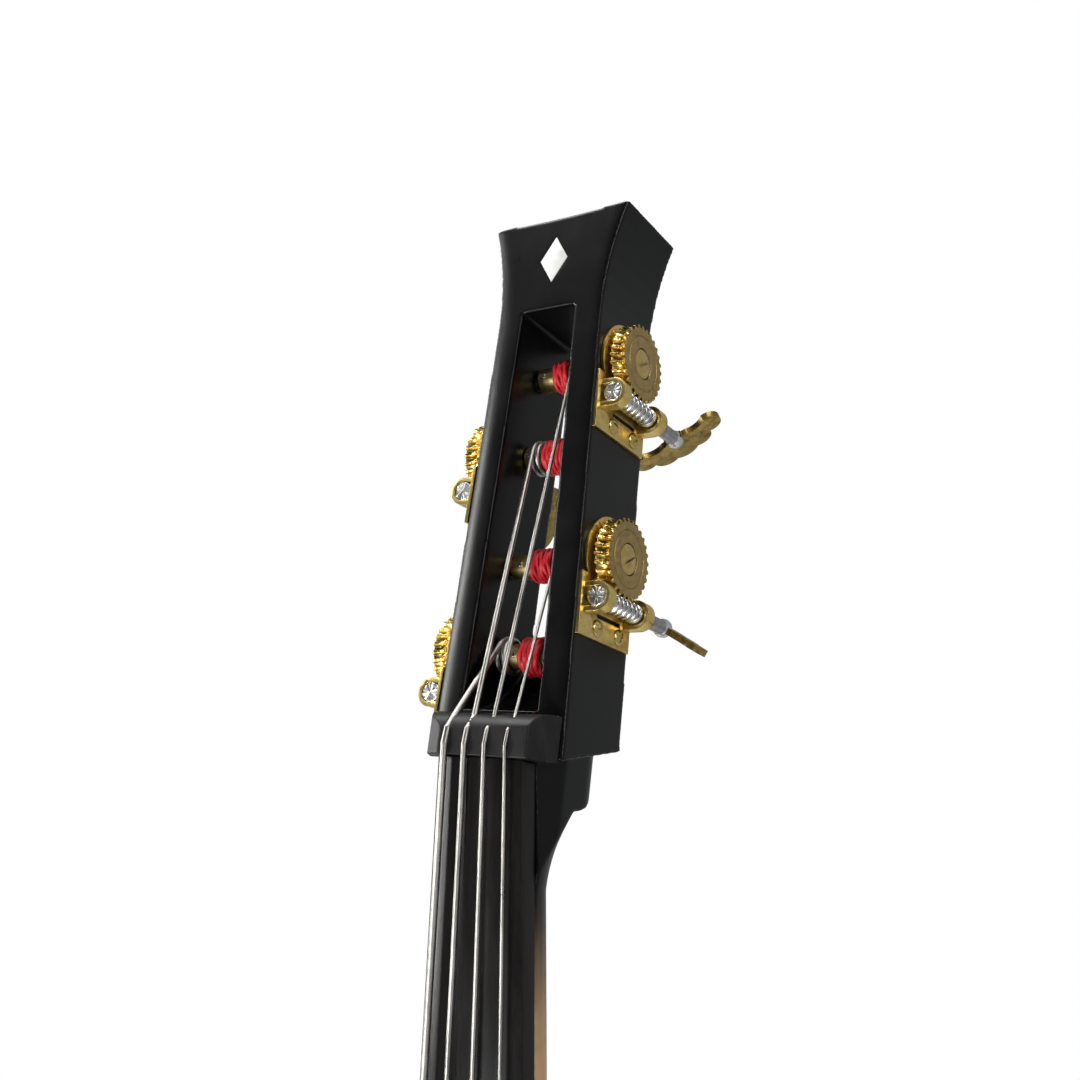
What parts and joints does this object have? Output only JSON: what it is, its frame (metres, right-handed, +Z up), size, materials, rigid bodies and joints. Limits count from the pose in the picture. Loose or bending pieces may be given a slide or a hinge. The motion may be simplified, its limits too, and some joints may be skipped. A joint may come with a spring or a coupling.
{
  "type": "double bass",
  "caption": "Upright double bass with a slotted head, worm-geared tuning machines, ebony fingerboard, arched front plate and sliding endpin.",
  "frame": {"origin": "centre of the rubber foot's flat underside, on the floor", "axes": "+Z up along the body, -Y towards the front plate and strings, +X to the right seen from the front"},
  "size_m": [0.6698, 0.3801, 1.9269],
  "materials": {
    "black_lacquer": "satin black lacquer",
    "spruce": "bare",
    "ebony": "satin oiled",
    "maple": "bare",
    "white_inlay": "flush inlay",
    "rubber": "matte",
    "black_steel": "black oxide",
    "red_silk": "twisted silk",
    "brass": "brushed",
    "steel": "brushed"
  },
  "bodies": {
    "instrument": {"top_plate": "black_lacquer", "back_plate": "black_lacquer", "ribs": "black_lacquer", "linings": "spruce", "top_block": "spruce", "bottom_block": "spruce", "corner_blocks": "spruce", "back_braces": "spruce", "bass_bar": "spruce", "sound_post": "spruce", "saddle": "ebony", "bridge": "maple", "tailpiece": "ebony", "tail_wire": "steel", "neck": "black_lacquer", "fingerboard": "ebony", "nut": "ebony", "head_inlay": "white_inlay", "machine_plate_1": "brass", "machine_plate_2": "brass", "machine_plate_3": "brass", "machine_plate_4": "brass", "plate_screws": "brass", "string_e": "steel", "string_a": "steel", "string_d": "steel", "string_g": "steel", "endpin_socket": "ebony"},
    "spool_unit_1": {"worm_wheel_1": "brass", "wheel_screw_1": "brass", "spool_1": "brass", "spool_pin_1": "steel", "winding_1": "red_silk"},
    "worm_unit_1": {"worm_1": "steel", "key_1": "brass"},
    "spool_unit_2": {"worm_wheel_2": "brass", "wheel_screw_2": "brass", "spool_2": "brass", "spool_pin_2": "steel", "winding_2": "red_silk"},
    "worm_unit_2": {"worm_2": "steel", "key_2": "brass"},
    "spool_unit_3": {"worm_wheel_3": "brass", "wheel_screw_3": "brass", "spool_3": "brass", "spool_pin_3": "steel", "winding_3": "red_silk"},
    "worm_unit_3": {"worm_3": "steel", "key_3": "brass"},
    "spool_unit_4": {"worm_wheel_4": "brass", "wheel_screw_4": "brass", "spool_4": "brass", "spool_pin_4": "steel", "winding_4": "red_silk"},
    "worm_unit_4": {"worm_4": "steel", "key_4": "brass"},
    "endpin": {"endpin_rod": "steel", "rubber_foot": "rubber"},
    "endpin_clamp": {"endpin_screw": "black_steel"}
  },
  "joints": [
    {"name": "spool_turn_1", "type": "hinge", "parent": "instrument", "child": "spool_unit_1", "pos_m": [0.02764, 0.00718, 1.85449], "axis": [0.9996, 0.0095, 0.027], "range_deg": [-180, 180]},
    {"name": "key_turn_1", "type": "hinge", "parent": "instrument", "child": "worm_unit_1", "pos_m": [0.0352, 0.00077, 1.83619], "axis": [0, 0.9438, -0.3305], "range_deg": [-5040, 5040]},
    {"name": "spool_turn_2", "type": "hinge", "parent": "instrument", "child": "spool_unit_2", "pos_m": [-0.02873, -0.00544, 1.81844], "axis": [-0.9996, 0.0095, 0.027], "range_deg": [-180, 180]},
    {"name": "key_turn_2", "type": "hinge", "parent": "instrument", "child": "worm_unit_2", "pos_m": [-0.03629, -0.01185, 1.80014], "axis": [0, 0.9438, -0.3305], "range_deg": [-5040, 5040]},
    {"name": "spool_turn_3", "type": "hinge", "parent": "instrument", "child": "spool_unit_3", "pos_m": [0.03015, -0.0218, 1.77172], "axis": [0.9996, 0.0095, 0.027], "range_deg": [-180, 180]},
    {"name": "key_turn_3", "type": "hinge", "parent": "instrument", "child": "worm_unit_3", "pos_m": [0.03771, -0.02821, 1.75342], "axis": [0, 0.9438, -0.3305], "range_deg": [-5040, 5040]},
    {"name": "spool_turn_4", "type": "hinge", "parent": "instrument", "child": "spool_unit_4", "pos_m": [-0.03129, -0.03496, 1.73416], "axis": [-0.9996, 0.0095, 0.027], "range_deg": [-180, 180]},
    {"name": "key_turn_4", "type": "hinge", "parent": "instrument", "child": "worm_unit_4", "pos_m": [-0.03885, -0.04137, 1.71586], "axis": [0, 0.9438, -0.3305], "range_deg": [-5040, 5040]},
    {"name": "endpin_slide", "type": "slide", "parent": "instrument", "child": "endpin", "axis": [0, 0, 1], "range_m": [-0.15, 0.1]},
    {"name": "endpin_clamp_turn", "type": "hinge", "parent": "instrument", "child": "endpin_clamp", "pos_m": [0, -0.03, 0.163], "axis": [0, -1, 0], "range_deg": [0, 720]}
  ],
  "couplings": [
    {"joint": "key_turn_1", "follows": "spool_turn_1", "ratio": -28},
    {"joint": "key_turn_2", "follows": "spool_turn_2", "ratio": -28},
    {"joint": "key_turn_3", "follows": "spool_turn_3", "ratio": -28},
    {"joint": "key_turn_4", "follows": "spool_turn_4", "ratio": -28}
  ]
}
